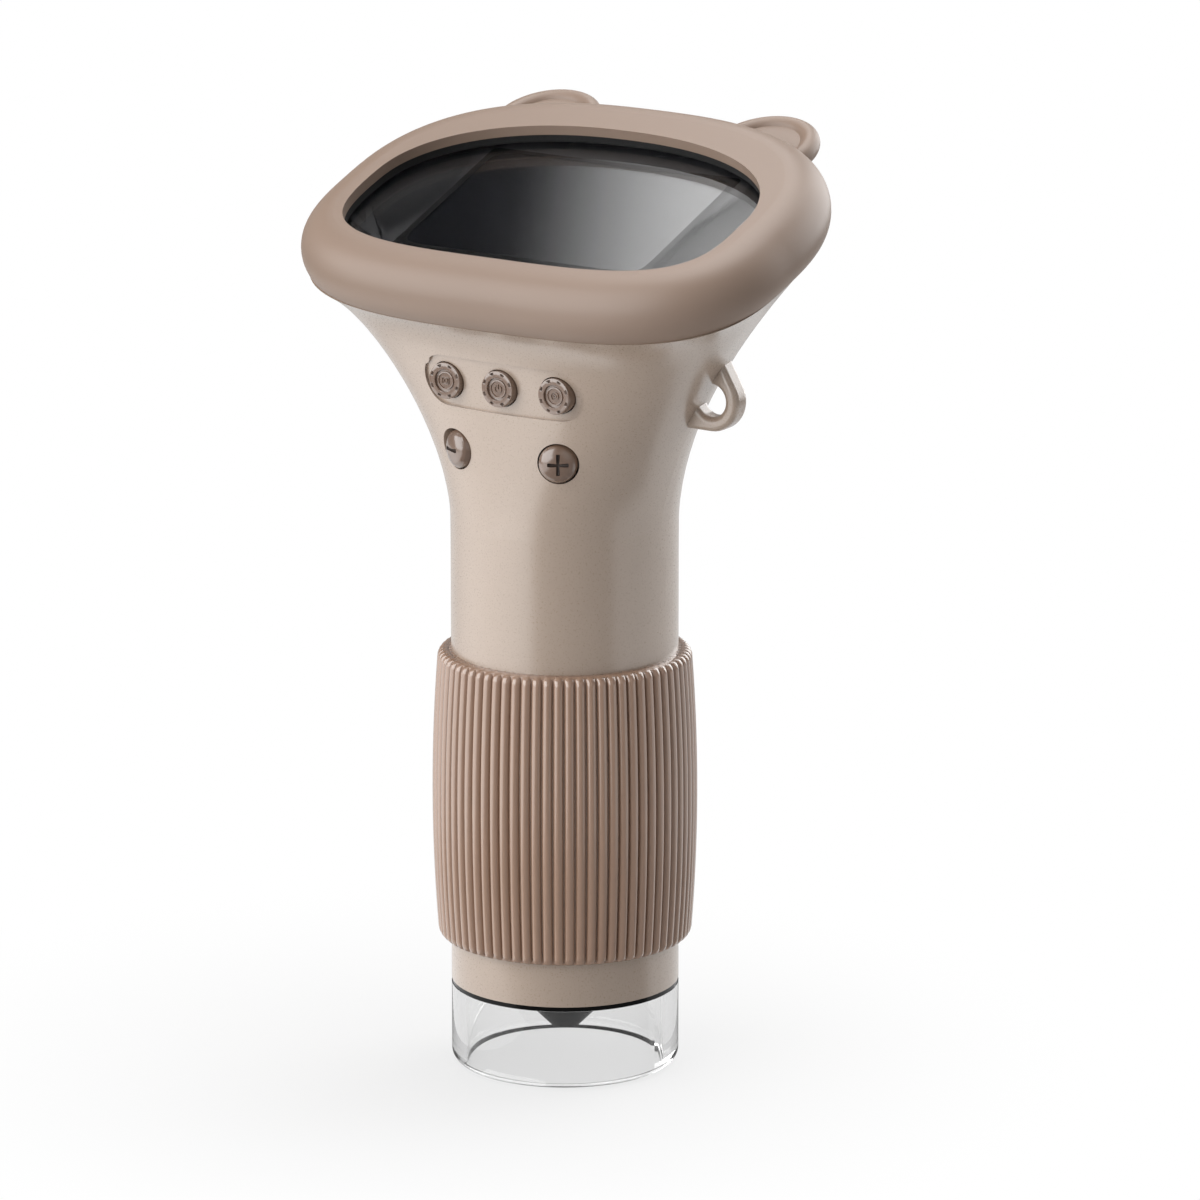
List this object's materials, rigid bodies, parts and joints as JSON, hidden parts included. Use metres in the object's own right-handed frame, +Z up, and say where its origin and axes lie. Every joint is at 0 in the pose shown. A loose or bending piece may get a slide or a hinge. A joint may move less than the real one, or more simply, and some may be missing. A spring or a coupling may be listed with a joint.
{
  "type": "lcd digital microscope",
  "caption": "Handheld digital microscope: flared head with tilted screen in a soft bumper with round ears, button pad, ribbed focus ring and clear foot.",
  "frame": {"origin": "centre of the clear foot's lower rim, on the barrel axis", "axes": "+Z up along the barrel axis, -Y towards the user and the buttons, +X to the side with the lanyard loop"},
  "size_m": [0.081, 0.0578, 0.143],
  "materials": {
    "housing": "fine satin moulded ABS",
    "bumper": "soft matt silicone",
    "grip": "satin ribbed soft-touch plastic",
    "acrylic": "clear polished acrylic",
    "black_gloss": "polished black",
    "screen_glass": "clear cover glass with black border",
    "black_soft": "matt black foam",
    "display": "switched-off display",
    "black_plastic": "moulded black",
    "black_metal": "black anodised",
    "lens_glass": "coated lens glass",
    "steel": "plated steel",
    "circuit_board": "green solder mask",
    "chip": "moulded chip package",
    "led": "white light source",
    "battery_wrap": "foil pouch",
    "card": "black moulded card",
    "button": "satin moulded"
  },
  "bodies": {
    "housing": {"front_housing": "housing", "rear_cover": "housing", "barrel_tube": "housing", "bumper_ring": "bumper", "clear_cover": "acrylic", "base_plate": "black_gloss", "cover_glass": "screen_glass", "screen_gasket": "black_soft", "lcd_panel": "display", "display_frame": "black_plastic", "battery_cradle": "black_plastic", "cover_screws": "steel", "board_screws": "steel", "plate_screws": "steel", "usb_port": "steel", "card_socket": "steel", "main_board": "circuit_board", "key_board": "circuit_board", "minus_key_board": "circuit_board", "plus_key_board": "circuit_board", "led_board": "circuit_board", "main_chips": "chip", "key_switches": "chip", "leds": "led", "battery": "battery_wrap"},
    "focus_ring": {"focus_ring": "grip"},
    "lens_group": {"lens_carriage": "black_plastic", "guide_pins": "steel", "lens_barrel": "black_metal", "front_lens": "lens_glass", "rear_lens": "lens_glass", "sensor_board": "circuit_board", "image_sensor": "chip"},
    "memory_card": {"memory_card": "card"},
    "photo_button": {"photo_button": "button"},
    "power_button": {"power_button": "button"},
    "video_button": {"video_button": "button"},
    "minus_button": {"minus_button": "button"},
    "plus_button": {"plus_button": "button"}
  },
  "joints": [
    {"name": "focus_turn", "type": "hinge", "parent": "housing", "child": "focus_ring", "pos_m": [0, 0, 0.041], "axis": [0, 0, 1], "range_deg": [-90, 90]},
    {"name": "focus_slide", "type": "slide", "parent": "housing", "child": "lens_group", "axis": [0, 0, 1], "range_m": [-0.003, 0.003]},
    {"name": "card_slide", "type": "slide", "parent": "housing", "child": "memory_card", "axis": [0, 0.944, 0.3299], "range_m": [0, 0.017]},
    {"name": "photo_press", "type": "slide", "parent": "housing", "child": "photo_button", "axis": [0, 1, 0], "range_m": [0, 0.0005], "stiffness_N_per_m": 600},
    {"name": "power_press", "type": "slide", "parent": "housing", "child": "power_button", "axis": [0, 1, 0], "range_m": [0, 0.0005], "stiffness_N_per_m": 600},
    {"name": "video_press", "type": "slide", "parent": "housing", "child": "video_button", "axis": [0, 1, 0], "range_m": [0, 0.0005], "stiffness_N_per_m": 600},
    {"name": "minus_press", "type": "slide", "parent": "housing", "child": "minus_button", "axis": [0.5, 0.866, 0], "range_m": [0, 0.0005], "stiffness_N_per_m": 600},
    {"name": "plus_press", "type": "slide", "parent": "housing", "child": "plus_button", "axis": [-0.5, 0.866, 0], "range_m": [0, 0.0005], "stiffness_N_per_m": 600}
  ],
  "couplings": [
    {"joint": "focus_slide", "follows": "focus_turn", "m_per_rad": 0.0019099}
  ]
}
